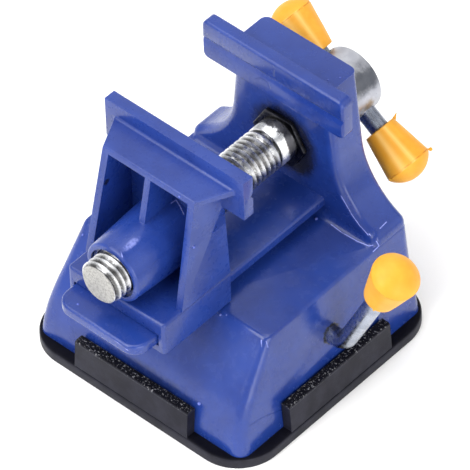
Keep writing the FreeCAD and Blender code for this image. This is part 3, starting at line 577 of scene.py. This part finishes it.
@dataclass(frozen=True)
class VinylFinish:
    """Soft yellow vinyl, slightly cloudy and waxy, with painted shade in its crease and painted
    highlight streaks.
    """

    name: str
    body: Colour = (0.74, 0.325, 0.024)
    pale: Colour = (0.81, 0.390, 0.040)
    # Colour of the painted shade in the cap's crease.
    crease: Colour = (0.55, 0.19, 0.02)
    speck: Colour = (0.30, 0.14, 0.03)
    # Colour of the painted highlight streaks.
    painted_highlight_streak: Colour = (0.98, 0.66, 0.22)
    rough: float = 0.40

    def make(self) -> bpy.types.Material:
        """Build the material."""
        g = Graph(self.name)
        colour = g.blend(g.span(g.noise(120.0, 4.0, 0.6), 0.36, 0.66), self.body, self.pale)
        broken = g.span(g.noise(500.0, 3.0, 0.7), 0.38, 0.60)
        # Dashes of painted shade along the crease.
        crease_shade_dashes = g.math("MULTIPLY", g.attribute("rim"), broken)
        colour = g.tint(colour, crease_shade_dashes, 0.65, self.crease)
        colour = g.tint(colour, g.specks(520.0, 0.08, 0.04), 0.5, self.speck)
        # Painted highlight streaks down the cone.
        colour = g.tint(colour, g.attribute("painted_highlight_streak"), 0.55, self.painted_highlight_streak)
        rough = g.math("ADD", self.rough, g.math("MULTIPLY", g.noise(300.0, 3.0), 0.14))
        skin = g.bump(g.noise(420.0, 3.0, 0.5), 0.12, 0.35)
        return g.surface(Base_Color=colour, Roughness=rough, Normal=skin, Subsurface_Weight=0.12,
                         Subsurface_Radius=(0.8, 0.35, 0.1), Subsurface_Scale=0.002,
                         Specular_IOR_Level=0.28)


# ---------------------------------------------------------------- mesh helpers
def settle(bm: bmesh.types.BMesh, name: str, body: Body, slot: Slot, material: bpy.types.Material,
           *nodes: str, sharp: float = 32.0) -> bpy.types.Object:
    """Turn a bmesh into a finished piece that rides on a body.

    Args:
        bm: The mesh, in the frame of the model; it is freed.
        name: The piece's name.
        body: The body that it rides on.
        slot: The slot of its finish; not used.
        material: Its material.
        nodes: The nodes that it stands for.
        sharp: The angle in degrees above which an edge stays sharp.

    Returns:
        The object.
    """
    for face in bm.faces:
        face.smooth = True
    mesh = bpy.data.meshes.new(name)
    bm.to_mesh(mesh)
    bm.free()
    mesh.set_sharp_from_angle(angle=math.radians(sharp))
    mesh.materials.append(material)
    piece = bpy.data.objects.new(name, mesh)
    bpy.context.scene.collection.objects.link(piece)
    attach(piece, body.value)
    if nodes:
        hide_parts(*nodes)
    LOG.info("%s: %d faces on %s", name, len(mesh.polygons), body.value)
    return piece


def solid_of(node: str, plane_angle: float = 0.6) -> bmesh.types.BMesh:
    """Copy a node's mesh with its corners joined and its flat faces made whole.

    Args:
        node: The node's name.
        plane_angle: Faces that meet within this many degrees are made one.

    Returns:
        The copy.
    """
    bm = bmesh.new()
    bm.from_mesh(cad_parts[node].data)
    bmesh.ops.remove_doubles(bm, verts=bm.verts, dist=2.0 * JOIN)
    bmesh.ops.dissolve_limit(bm, angle_limit=math.radians(plane_angle), verts=bm.verts,
                             edges=bm.edges)
    return bm


def round_edges(bm: bmesh.types.BMesh, radius: float, least: float = 28.0, steps: int = 3) -> None:
    """Bevel every sharp edge and mark the new faces as rim.

    Args:
        bm: The mesh.
        radius: The bevel's width in millimetres.
        least: The least angle in degrees between the faces of a sharp edge.
        steps: Segments of the bevel.
    """
    rim = bm.faces.layers.float.new("rim")
    edges = [e for e in bm.edges if e.is_manifold and e.calc_face_angle(0.0) > math.radians(least)]
    made = bmesh.ops.bevel(bm, geom=edges, offset=radius * MM, offset_type="OFFSET",
                           segments=steps, profile=0.5, affect="EDGES", clamp_overlap=True,
                           material=-1)
    for face in made["faces"]:
        face[rim] = 1.0


def dress(node: str, suffix: str, body: Body, slot: Slot, material: bpy.types.Material,
          radius: float, least: float = 28.0) -> None:
    """Copy a node with rounded edges and settle the copy in its place.

    Args:
        node: The node's name.
        suffix: What the piece's name has after the node's.
        body: The body that it rides on.
        slot: The slot of its finish.
        material: Its material.
        radius: The width of its edges' rounds in millimetres.
        least: The least angle in degrees of an edge that is rounded.
    """
    bm = solid_of(node)
    round_edges(bm, radius, least)
    settle(bm, node + suffix, body, slot, material, node)


def lathe(bm: bmesh.types.BMesh, profile: list[tuple[float, float]], steps: int = 64) -> None:
    """Spin a profile of (radius, height) in millimetres round Z and join it.

    Args:
        bm: The mesh to add to.
        profile: The profile's points.
        steps: Steps of the full turn.
    """
    before = set(bm.faces)
    verts = [bm.verts.new((r * MM, 0.0, z * MM)) for r, z in profile]
    edges = [bm.edges.new(pair) for pair in zip(verts, verts[1:])]
    bmesh.ops.spin(bm, geom=verts + edges, cent=(0, 0, 0), axis=(0, 0, 1), angle=2 * math.pi,
                   steps=steps, use_merge=True, use_duplicate=False)
    bmesh.ops.remove_doubles(bm, verts=bm.verts, dist=JOIN)
    bmesh.ops.recalc_face_normals(bm, faces=[f for f in bm.faces if f not in before])


def arc(centre: tuple[float, float], radius: float, start: float, end: float,
        steps: int) -> list[tuple[float, float]]:
    """List points of an arc in a profile's plane.

    Args:
        centre: The arc's centre as (radius, height).
        radius: The arc's radius.
        start: Its first angle in degrees.
        end: Its last angle in degrees.
        steps: The number of steps.

    Returns:
        The points.
    """
    turns = [math.radians(start + (end - start) * i / steps) for i in range(steps + 1)]
    return [(centre[0] + radius * math.cos(t), centre[1] + radius * math.sin(t)) for t in turns]


def aim(bm: bmesh.types.BMesh, origin: Point, direction: Point) -> None:
    """Move a mesh built along Z to start at a point and run along a direction.

    Args:
        bm: The mesh.
        origin: The point, in millimetres.
        direction: The direction of its Z axis.
    """
    turn = Vector(direction).to_track_quat("Z", "Y").to_matrix().to_4x4()
    bmesh.ops.transform(bm, matrix=Matrix.Translation(Vector(origin) * MM) @ turn, verts=bm.verts)


# ---------------------------------------------------------------- sub-assemblies
@dataclass
class Casting:
    """The painted body and the sliding jaw, with rounded edges, beads, marks in the paint, and
    painted highlights and shade.
    """

    round_radius: float = 0.26
    body_grease_and_shade_spots: tuple[Smudge, ...] = (
        # Grease round the nut and at the lever's hole; the flat spot at y -33.4 is painted shade on
        # the wall behind the front tab.
        Smudge((0.8, 20.7, 51.8), 7.9, 4.2, 0.90),
        Smudge((5.5, 20.7, 47.0), 2.8, 3.6, 0.80),
        Smudge((4.0, -33.4, 11.6), 0.5, 2.3, 0.55, (0.13, 1.0, 1.0)),
        Smudge((32.6, 1.5, 18.8), 2.7, 0.5, 0.95))
    # Painted highlight lines along the fillets at the column's foot and the tongue's edge; a few
    # short ones are light scratches and marks.
    body_glints_and_scratches: tuple[Line, ...] = (
        ((19.0, 20.9, 43.2), (22.5, 20.9, 38.8), (25.1, 20.9, 36.6), (27.7, 21.0, 35.1)),
        ((16.9, 19.4, 32.8), (20.7, 19.1, 32.8), (25.5, 19.3, 32.8), (29.0, 19.8, 33.0),
         (29.7, 20.5, 33.2)),
        ((27.8, 21.2, 35.4), (30.2, 21.4, 34.0), (30.6, 21.7, 32.6), (30.7, 19.4, 32.5)),
        ((28.9, 24.1, 35.8), (28.7, 26.7, 35.9)),
        ((29.1, -20.3, 31.8), (29.8, -20.9, 30.4)), ((30.3, -19.8, 31.7), (30.9, -19.9, 30.2)),
        ((3.2, -47.7, 38.4), (7.5, -47.9, 38.3), (10.6, -47.8, 37.6)),
        ((12.9, 20.4, 34.6), (12.8, 19.0, 33.0)), ((13.9, 20.4, 34.4), (13.8, 19.2, 33.1)))
    # Crease lines with painted shade on the skirt and on the fixed jaw's face.
    body_shaded_creases: tuple[Line, ...] = (
        ((33.2, -29.7, 11.6), (33.4, -25.4, 11.0), (33.7, -18.8, 8.5)),
        ((-5.2, 17.5, 70.6), (-3.6, 17.5, 71.9), (-1.3, 17.5, 71.8), (-0.6, 17.5, 70.3)),
        ((0.7, 17.5, 77.4), (0.6, 17.5, 75.5)))
    # Painted highlight lines on the jaw's boss and right leg.
    jaw_glints: tuple[Line, ...] = (
        ((2.2, -40.0, 60.2), (4.4, -41.4, 59.6), (6.2, -41.6, 58.3)),
        ((1.3, -21.0, 61.5), (1.5, -19.4, 61.6), (3.3, -20.0, 61.1), (5.2, -20.7, 60.1)),
        ((15.3, -28.7, 62.2), (15.4, -28.0, 61.0)))
    jaw_sag: tuple[float, float, float] = (33.0, 61.0, 4.2)
    jaw_smudges: tuple[Smudge, ...] = (Smudge((-13.2, -28.0, 64.8), 0.3, 0.9, 0.85),)
    # A painted highlight stripe along the top of the boss.
    jaw_painted_sheens: tuple[Smudge, ...] = (
        Smudge((2.45, -36.7, 60.45), 0.45, 0.7, 0.75, (1.0, 0.3, 1.0)),)
    blobs: tuple[tuple[Body, Point, float], ...] = (
        (Body.BASE, (-8.1, -45.3, 38.76), 0.46), (Body.BASE, (19.2, -32.6, 12.1), 0.50),
        (Body.BASE, (15.9, -20.4, 31.7), 0.30), (Body.BASE, (17.4, -19.8, 32.2), 0.26),
        (Body.BASE, (12.8, 18.5, 32.8), 0.45), (Body.BASE, (-29.1, -21.4, 30.2), 0.35),
        (Body.BASE, (13.5, 27.4, 75.6), 0.28), (Body.BASE, (11.8, 24.9, 75.6), 0.24),
        (Body.JAW, (15.3, -28.3, 61.5), 0.42), (Body.JAW, (10.2, -27.2, 74.6), 0.30))

    def build(self) -> None:
        """Dress both castings."""
        body_paint = PaintFinish("paint_body", grease_and_shade_spots=self.body_grease_and_shade_spots, glints_and_scratches=self.body_glints_and_scratches,
                                 shaded_creases=self.body_shaded_creases).make()
        jaw_paint = PaintFinish("paint_jaw", gloss=0.27, coat_rough=0.18, side_sag=self.jaw_sag,
                                glints_and_scratches=self.jaw_glints, grease_and_shade_spots=self.jaw_smudges,
                                painted_sheens=self.jaw_painted_sheens).make()
        # The beads take a lighter copy of the paint: a painted highlight on them.
        pale = PaintFinish("paint_beads", deep=(0.05, 0.08, 0.36), body=(0.12, 0.16, 0.52)).make()
        for node, body, paint in (("base_body", Body.BASE, body_paint),
                                  ("moving_jaw", Body.JAW, jaw_paint)):
            dress(node, "_casting", body, Slot.PAINT, paint, self.round_radius)
            bm = bmesh.new()
            for rider, centre, radius in self.blobs:
                if rider is body:
                    bmesh.ops.create_icosphere(bm, subdivisions=3, radius=radius * MM,
                                               matrix=Matrix.Translation(Vector(centre) * MM))
            settle(bm, node + "_paint_beads", body, Slot.PAINT, pale)


@dataclass
class SuctionPad:
    """The rubber pad with its tabs, membrane and middle."""

    round_radius: float = 0.35

    def build(self) -> None:
        """Dress the rubber."""
        rubber = RubberFinish("rubber_pad").make()
        for node, body in (("suction_pad", Body.BASE), ("pad_membrane", Body.BASE),
                           ("pad_button", Body.PLUNGER)):
            dress(node, "_rubber", body, Slot.RUBBER, rubber, self.round_radius)


@dataclass
class LeadScrew:
    """The screw with its rolled thread, relief, plain band, nut, washer and head."""

    height: float = 52.1
    radius: float = 6.0
    root: float = 5.02
    pitch: float = 1.75
    front: float = -46.1
    end_chamfer: float = 0.75
    chamfer_slope: float = 1.1
    thread_end: float = 13.6
    relief: float = 0.7
    relief_overlap: float = 0.4
    band_start: float = 14.4
    band_chamfer: float = 0.25
    shoulder: float = 33.3
    tail_radius: float = 4.5
    tail_end: float = 40.6
    grease_from: float = 16.8
    steps: int = 56

    def thread(self) -> bmesh.types.BMesh:
        """Sweep one pitch of the thread along its helix.

        Returns:
            The thread, its axis on Z, its front end at 0.
        """
        bm = bmesh.new()
        length = self.thread_end - self.front
        turns = math.ceil(length / self.pitch) + 2
        root, low, high, crest = self.root, self.root + 0.05, self.radius - 0.08, self.radius
        shape = ((root, 0.0), (low, 0.06), (high, 0.42), (crest, 0.455), (crest, 0.545),
                 (high, 0.58), (low, 0.94), (root, 1.0))
        verts = [bm.verts.new((r * MM, 0.0, (share - 1.0) * self.pitch * MM)) for r, share in shape]
        edges = [bm.edges.new(pair) for pair in zip(verts, verts[1:])]
        bmesh.ops.spin(bm, geom=verts + edges, cent=(0, 0, 0), axis=(0, 0, 1),
                       angle=2 * math.pi * turns, dvec=(0, 0, self.pitch * MM / self.steps),
                       steps=self.steps * turns, use_merge=False, use_duplicate=False)
        bmesh.ops.remove_doubles(bm, verts=bm.verts, dist=JOIN)
        for z, keep in ((0.0, -1.0), (length, 1.0)):
            whole = list(bm.verts) + list(bm.edges) + list(bm.faces)
            cut = bmesh.ops.bisect_plane(bm, geom=whole, plane_co=(0, 0, z * MM),
                                         plane_no=(0, 0, keep), clear_outer=True, dist=0.1 * JOIN)
            rim = [item for item in cut["geom_cut"] if isinstance(item, bmesh.types.BMEdge)]
            bmesh.ops.holes_fill(bm, edges=rim, sides=0)
        for vert in bm.verts:
            reach = Vector((vert.co.x, vert.co.y)).length
            rise = max(vert.co.z, 0.0) / MM * self.chamfer_slope
            limit = (self.radius - self.end_chamfer + rise) * MM
            if reach > limit:
                vert.co.x *= limit / reach
                vert.co.y *= limit / reach
        bmesh.ops.recalc_face_normals(bm, faces=bm.faces)
        return bm

    def build(self) -> None:
        """Dress the screw and what is fixed on it."""
        axis = ((0.0, 0.0, self.height), self.root + 0.30, self.radius - 0.06)
        threaded = SteelFinish("zinc_thread", bright=(0.88, 0.88, 0.88), dull=(0.48, 0.49, 0.51),
                               rough=0.26, grain=0.16, groove_axis=axis, clean_front=self.front,
                               grease_from=self.grease_from).make()
        bm = self.thread()
        relief = self.radius - self.relief
        run_out, band, chamfer, shoulder, tail = (
            y - self.front for y in (self.thread_end - self.relief_overlap, self.band_start,
                                     self.band_start + self.band_chamfer, self.shoulder,
                                     self.tail_end))
        lathe(bm, [(0.0, run_out), (relief, run_out), (relief, band),
                   (self.radius - self.band_chamfer, band), (self.radius, chamfer),
                   (self.radius, shoulder), (self.tail_radius, shoulder),
                   (self.tail_radius, tail), (0.0, tail)])
        aim(bm, (0.0, self.front, self.height), (0.0, 1.0, 0.0))
        settle(bm, "lead_screw_thread", Body.SCREW, Slot.ZINC, threaded, "lead_screw", sharp=50.0)

        greasy = SteelFinish("blackened_nut", bright=(0.045, 0.045, 0.05),
                             dull=(0.008, 0.008, 0.010), rough=0.26, grain=0.25).make()
        dress("retaining_nut", "_greasy", Body.SCREW, Slot.BLACKENED, greasy, 0.45)

        # The drum's dark patch is a painted reflection of the dark room; the brown stain is real.
        drum = SteelFinish("zinc_drum", bright=(0.52, 0.53, 0.57), dull=(0.42, 0.43, 0.48),
                           grime_and_painted_dark=(0.022, 0.028, 0.042), rough=0.34, grain=0.03, metal=0.85,
                           painted_dark_patch=Smudge((6.9, 43.0, 57.9), 1.6, 3.0, 0.80, (1.0, 0.45, 1.0)),
                           stain=Smudge((8.9, 43.0, 50.9), 0.7, 1.8, 0.75)).make()
        dress("screw_head", "_turned", Body.SCREW, Slot.ZINC, drum, 0.3)
        dress("head_pin", "_turned", Body.SCREW, Slot.ZINC, drum, 0.3)
        dress("thrust_washer", "_plated", Body.BASE, Slot.ZINC, drum, 0.2)


@dataclass(frozen=True)
class Nib:
    """A nib of flash on a cap; its end is a bulb, or a point where the bulb is 0."""

    turn: float
    height: float
    length: float
    bulb: float = 0.0


@dataclass
class VinylCap:
    """A tapered cap with a lip, a creased rim, a low dome, nibs of flash and painted highlight
    streaks.

    Each entry of streaks is (its angle round the cap, half its width), in degrees.
    """

    name: str
    node: str
    body: Body
    origin: Point
    direction: Point
    bore: float
    small: float = 4.4
    big: float = 6.3
    length: float = 11.65
    dome: float = 3.6
    socket: float = 9.0
    lip: float = 0.45
    nibs: tuple[Nib, ...] = ()
    # Painted highlight streaks down the cone.
    streaks: tuple[tuple[float, float], ...] = ()

    def build(self, vinyl: bpy.types.Material) -> None:
        """Shape and dress the cap.

        Args:
            vinyl: Its material.
        """
        bm = bmesh.new()
        lathe(bm, self.profile(), 72)
        # The crease faces are marked for painted shade.
        rim = bm.faces.layers.float.new("rim")
        for face in bm.faces:
            z = face.calc_center_median().z / MM
            if self.length - 0.45 < z < self.length - 0.18:
                face[rim] = 1.0
        for nib in self.nibs:
            self.add_nib(bm, nib)
        # Painted highlight streaks, as weights on the vertices.
        painted_highlight_streak = bm.verts.layers.float.new("painted_highlight_streak")
        bm.normal_update()
        for vert in bm.verts:
            turn = math.degrees(math.atan2(vert.co.y, vert.co.x))
            if vert.co.z < self.length * MM and abs(vert.normal.z) < 0.5:
                vert[painted_highlight_streak] = sum(math.exp(-((turn - spot) / width) ** 2)
                                   for spot, width in self.streaks)
        aim(bm, self.origin, self.direction)
        settle(bm, self.name, self.body, Slot.VINYL, vinyl, self.node, sharp=60.0)

    def profile(self) -> list[tuple[float, float]]:
        """List the cap's profile from its socket over the lip, the crease and the dome.

        Returns:
            The points as (radius, height).
        """
        lip, big, rim = self.lip, self.big, self.length
        bulge = (big ** 2 + self.dome ** 2) / (2 * self.dome)
        centre = rim + self.dome - bulge
        spread = math.degrees(math.asin((big - 0.35) / bulge))
        crown = arc((0.0, centre), bulge, 90.0 - spread, 90.0, 10)
        crown[-1] = (0.0, rim + self.dome)
        slope = (big - self.small) / self.length
        return [(0.0, self.socket), (self.bore, self.socket), (self.bore, lip),
                *arc((self.bore + lip, lip), lip, 180, 270, 3),
                *arc((self.small - lip, lip), lip, 270, 355, 4),
                (self.small + slope * 4.0, 4.0), (self.small + slope * 8.0, 8.0),
                (big - 0.06, rim - 0.62), (big - 0.03, rim - 0.45), (big - 0.17, rim - 0.32),
                (big - 0.03, rim - 0.18), (big, rim - 0.05), (big - 0.16, rim + 0.14), *crown]

    def add_nib(self, bm: bmesh.types.BMesh, nib: Nib) -> None:
        """Leave a small nib of flash on the cap.

        Args:
            bm: The cap's mesh, still along Z.
            nib: The nib; its turn is in degrees and the rest in millimetres.
        """
        reach = self.small + (self.big - self.small) * nib.height / self.length - 0.25
        lean = 55.0 if nib.height > self.length / 2 else 120.0
        root, tip = (0.30, 0.20) if nib.bulb > 0.0 else (0.58, 0.06)
        spot = (Matrix.Rotation(math.radians(nib.turn), 4, "Z")
                @ Matrix.Translation(Vector((reach, 0.0, nib.height)) * MM)
                @ Matrix.Rotation(math.radians(lean), 4, "Y"))
        middle = Matrix.Translation(Vector((0.0, 0.0, nib.length / 2)) * MM)
        bmesh.ops.create_cone(bm, cap_ends=True, segments=10, radius1=root * MM,
                              radius2=tip * MM, depth=nib.length * MM, matrix=spot @ middle)
        if nib.bulb > 0.0:
            end = Matrix.Translation(Vector((0.0, 0.0, nib.length)) * MM)
            bmesh.ops.create_icosphere(bm, subdivisions=3, radius=nib.bulb * MM, matrix=spot @ end)


@dataclass
class SlidingBar:
    """The steel bar through the screw head and its two caps."""

    centre_y: float = 44.0
    height: float = 52.1
    tilt: float = 34.9
    clear: float = 24.1
    shift: float = 1.95
    radius: float = 2.6
    lower_nibs: tuple[Nib, ...] = (
        Nib(35.0, 11.4, 0.9, 0.50), Nib(22.0, 0.5, 1.9), Nib(190.0, 11.4, 0.7))
    upper_nibs: tuple[Nib, ...] = (Nib(95.0, 11.4, 0.6),)

    def build(self, vinyl: bpy.types.Material) -> None:
        """Dress the bar and caps.

        Args:
            vinyl: The caps' material.
        """
        steel = SteelFinish("dull_bar", bright=(0.34, 0.36, 0.42), dull=(0.17, 0.19, 0.24),
                            rough=0.22, streaks=(1.0, 4.0, 1.0), grain=0.05).make()
        dress("t_bar", "_steel", Body.BAR, Slot.ZINC, steel, 0.4)
        lean = math.radians(self.tilt)
        along = Vector((math.cos(lean), 0.0, -math.sin(lean)))
        middle = Vector((0.0, self.centre_y, self.height))
        for node, way, nibs in (("t_bar_cap_lower", 1, self.lower_nibs),
                                ("t_bar_cap_upper", -1, self.upper_nibs)):
            foot = middle + along * (way * self.clear / 2 + self.shift)
            # The caps get painted highlight streaks down their cones.
            VinylCap(node + "_vinyl", node, Body.BAR, tuple(foot), tuple(along * way), self.radius,
                     nibs=nibs,
                     streaks=((90.0 + 16.0 * way, 6.0), (90.0 + 48.0 * way, 9.0))).build(vinyl)


@dataclass
class SuctionLever:
    """The bent rod, its cap, and the eccentric, pin and clip on its shaft."""

    axis_y: float = 1.5
    axis_z: float = 18.8
    corner_x: float = 36.9
    tilt: float = 25.7
    arm: float = 27.1
    radius: float = 2.45

    def build(self, vinyl: bpy.types.Material) -> None:
        """Dress the lever.

        Args:
            vinyl: The cap's material.
        """
        # The dark patch by the hole is painted shade on the rod.
        steel = SteelFinish("lever_steel", bright=(0.46, 0.49, 0.56), dull=(0.32, 0.35, 0.42),
                            rough=0.22, grain=0.03,
                            painted_dark_patch=Smudge((33.4, 2.0, 20.9), 0.6, 1.8, 0.75)).make()
        dress("lever_rod", "_steel", Body.LEVER, Slot.ZINC, steel, 0.3, least=40.0)
        lean = math.radians(self.tilt)
        along = Vector((math.sin(lean), 0.0, math.cos(lean)))
        foot = Vector((self.corner_x, self.axis_y, self.axis_z)) + along * self.arm
        VinylCap("lever_cap_vinyl", "lever_cap", Body.LEVER, tuple(foot), tuple(along),
                 self.radius, nibs=(Nib(200.0, 0.5, 0.6),)).build(vinyl)
        inner = SteelFinish("inner_steel", bright=(0.20, 0.20, 0.21),
                            dull=(0.08, 0.08, 0.09)).make()
        for node, body in (("eccentric", Body.LEVER), ("cam_pin", Body.LEVER),
                           ("shaft_clip", Body.LEVER), ("shaft_washer", Body.BASE),
                           ("pull_stud", Body.PLUNGER), ("pull_plate", Body.PLUNGER)):
            dress(node, "_steel", body, Slot.BLACKENED, inner, 0.15)


@dataclass
class Studio:
    """Pale floor, soft lights and the camera; each lamp is (name, place, size, watts)."""

    eye: Point = (759.58, -806.46, 1184.27)
    right: Point = (0.74485, 0.66685, -0.02275)
    up: Point = (-0.46903, 0.54754, 0.69297)
    back: Point = (0.47456, -0.50549, 0.72060)
    field_of_view: float = 4.159
    floor_half: float = 3.0
    horizon: float = 0.88
    zenith: float = 0.44
    paper: tuple[Colour, Colour] = ((0.95, 0.95, 0.95), (0.97, 0.97, 0.97))
    lamps: tuple[tuple[str, Point, float, float], ...] = (
        ("key", (-0.28, -0.25, 1.22), 1.25, 13.5),
        ("front", (-0.3, -1.2, 1.0), 0.9, 14.0),
        ("side", (1.3, -0.55, 0.45), 1.0, 11.5),
        ("fill", (0.95, 0.65, 0.85), 1.2, 3.2),
        ("back", (-0.62, 0.70, 1.02), 1.1, 2.5))

    def build(self) -> None:
        """Set the stage."""
        self.add_floor()
        self.add_world()
        self.add_lights()
        self.add_camera()

    def add_floor(self) -> None:
        """Lay a plain pale floor."""
        bm = bmesh.new()
        bmesh.ops.create_grid(bm, x_segments=1, y_segments=1, size=self.floor_half)
        mesh = bpy.data.meshes.new("floor")
        bm.to_mesh(mesh)
        bm.free()
        g = Graph("floor_paper")
        tone = g.blend(g.noise(2.0, 2.0), *self.paper)
        mesh.materials.append(g.surface(Base_Color=tone, Roughness=0.9))
        floor = bpy.data.objects.new("floor", mesh)
        bpy.context.scene.collection.objects.link(floor)

    def add_world(self) -> None:
        """Surround the stage with a soft pale room."""
        world = bpy.data.worlds.new("room")
        bpy.context.scene.world = world
        world.use_nodes = True
        tree = world.node_tree
        shade = tree.nodes["Background"]
        place = tree.nodes.new("ShaderNodeTexCoord")
        parts = tree.nodes.new("ShaderNodeSeparateXYZ")
        height = tree.nodes.new("ShaderNodeMapRange")
        height.interpolation_type = "SMOOTHSTEP"
        for key, number in (("From Min", 0.0), ("From Max", 0.75), ("To Min", self.horizon),
                            ("To Max", self.zenith)):
            height.inputs[key].default_value = number
        tree.links.new(place.outputs["Generated"], parts.inputs[0])
        tree.links.new(parts.outputs[2], height.inputs["Value"])
        tree.links.new(height.outputs[0], shade.inputs["Strength"])
        shade.inputs["Color"].default_value = (1.0, 1.0, 1.0, 1.0)
        bpy.context.scene.view_settings.view_transform = "Standard"

    def add_lights(self) -> None:
        """Hang soft boxes over the object and beside it."""
        target = Vector((0.0, 0.0, 0.03))
        for name, spot, size, power in self.lamps:
            light = bpy.data.lights.new(name, "AREA")
            light.shape = "SQUARE"
            light.size = size
            light.energy = power
            lamp = bpy.data.objects.new(name, light)
            lamp.location = spot
            lamp.rotation_euler = (Vector(spot) - target).to_track_quat("Z", "Y").to_euler()
            bpy.context.scene.collection.objects.link(lamp)

    def add_camera(self) -> None:
        """Stand the camera where the photograph was taken."""
        lens = bpy.data.cameras.new("camera")
        lens.angle = math.radians(self.field_of_view)
        lens.clip_start = 0.1
        lens.clip_end = 20.0
        camera = bpy.data.objects.new("camera", lens)
        turn = Matrix((self.right, self.up, self.back)).transposed().to_4x4()
        camera.matrix_world = Matrix.Translation(Vector(self.eye) * MM) @ turn
        bpy.context.scene.collection.objects.link(camera)
        bpy.context.scene.camera = camera


def main() -> None:
    """Build every sub-assembly and note the sizes."""
    logging.basicConfig(level=logging.INFO, format="%(name)s: %(message)s")
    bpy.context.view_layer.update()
    Studio().build()
    Casting().build()
    SuctionPad().build()
    LeadScrew().build()
    vinyl = VinylFinish("yellow_vinyl_cap").make()
    SlidingBar().build(vinyl)
    SuctionLever().build(vinyl)


if __name__ == "__main__":
    main()
